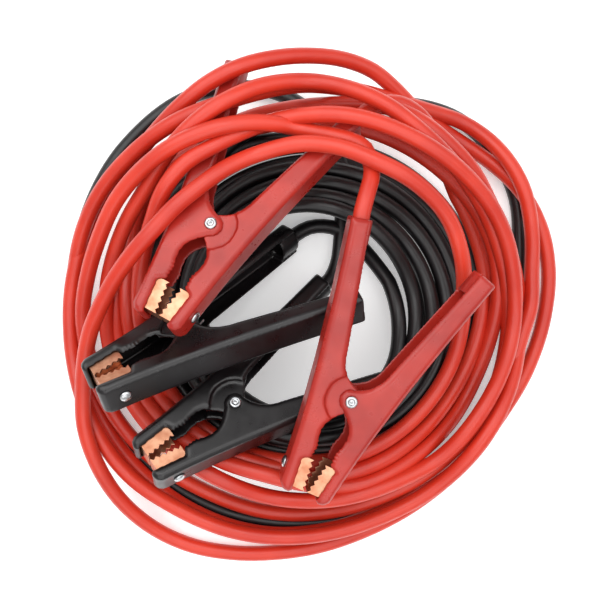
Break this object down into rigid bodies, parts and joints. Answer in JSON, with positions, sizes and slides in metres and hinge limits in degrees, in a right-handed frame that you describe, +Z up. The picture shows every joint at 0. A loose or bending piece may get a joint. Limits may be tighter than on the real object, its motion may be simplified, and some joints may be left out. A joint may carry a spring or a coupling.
{
  "type": "car jumper cable",
  "caption": "Coiled car jumper cable set: one red and one black cable with four sprung clamps that have copper jaws.",
  "frame": {"origin": "middle of the box round the four clamps", "axes": "+Z up from the floor that the coils lie on, +X to the right and +Y to the top of the reference picture"},
  "size_m": [0.316, 0.316, 0.1048],
  "materials": {
    "red_coating": "glossy dipped PVC",
    "black_coating": "glossy dipped PVC",
    "red_cable": "satin PVC sheath",
    "black_cable": "satin PVC sheath",
    "copper": "bright copper plate",
    "steel": "zinc plated steel"
  },
  "bodies": {
    "cables_and_cable_halves": {"red_a_cable_half": "red_coating", "red_a_cable_jaw": "copper", "red_a_pivot_rivet": "steel", "red_a_cable_jaw_rivet": "steel", "red_a_spring": "steel", "red_b_cable_half": "red_coating", "red_b_cable_jaw": "copper", "red_b_pivot_rivet": "steel", "red_b_cable_jaw_rivet": "steel", "red_b_spring": "steel", "black_a_cable_half": "black_coating", "black_a_cable_jaw": "copper", "black_a_pivot_rivet": "steel", "black_a_cable_jaw_rivet": "steel", "black_a_spring": "steel", "black_b_cable_half": "black_coating", "black_b_cable_jaw": "copper", "black_b_pivot_rivet": "steel", "black_b_cable_jaw_rivet": "steel", "black_b_spring": "steel", "black_coil": "black_cable", "red_coil": "red_cable", "red_a_lead": "red_cable", "red_b_lead": "red_cable", "black_a_lead": "black_cable", "black_b_lead": "black_cable"},
    "red_a_lever": {"red_a_lever_half": "red_coating", "red_a_lever_jaw": "copper", "red_a_lever_jaw_rivet": "steel"},
    "red_b_lever": {"red_b_lever_half": "red_coating", "red_b_lever_jaw": "copper", "red_b_lever_jaw_rivet": "steel"},
    "black_a_lever": {"black_a_lever_half": "black_coating", "black_a_lever_jaw": "copper", "black_a_lever_jaw_rivet": "steel"},
    "black_b_lever": {"black_b_lever_half": "black_coating", "black_b_lever_jaw": "copper", "black_b_lever_jaw_rivet": "steel"}
  },
  "joints": [
    {"name": "red_a_squeeze", "type": "hinge", "parent": "cables_and_cable_halves", "child": "red_a_lever", "pos_m": [-0.04146, 0.02755, 0.02693], "axis": [0.0647, -0.2571, -0.9642], "range_deg": [0, 28], "stiffness_Nm_per_rad": 3, "springref_deg": -28.65},
    {"name": "red_b_squeeze", "type": "hinge", "parent": "cables_and_cable_halves", "child": "red_b_lever", "pos_m": [0.03474, -0.06695, 0.02483], "axis": [0.0894, -0.1621, 0.9827], "range_deg": [0, 28], "stiffness_Nm_per_rad": 3, "springref_deg": -28.65},
    {"name": "black_a_squeeze", "type": "hinge", "parent": "cables_and_cable_halves", "child": "black_a_lever", "pos_m": [-0.05646, -0.03425, 0.01313], "axis": [-0.1113, 0.7147, 0.6905], "range_deg": [0, 28], "stiffness_Nm_per_rad": 3, "springref_deg": -28.65},
    {"name": "black_b_squeeze", "type": "hinge", "parent": "cables_and_cable_halves", "child": "black_b_lever", "pos_m": [-0.03126, -0.07615, 0.00313], "axis": [0.0819, 0.4743, 0.8766], "range_deg": [0, 28], "stiffness_Nm_per_rad": 3, "springref_deg": -28.65}
  ]
}
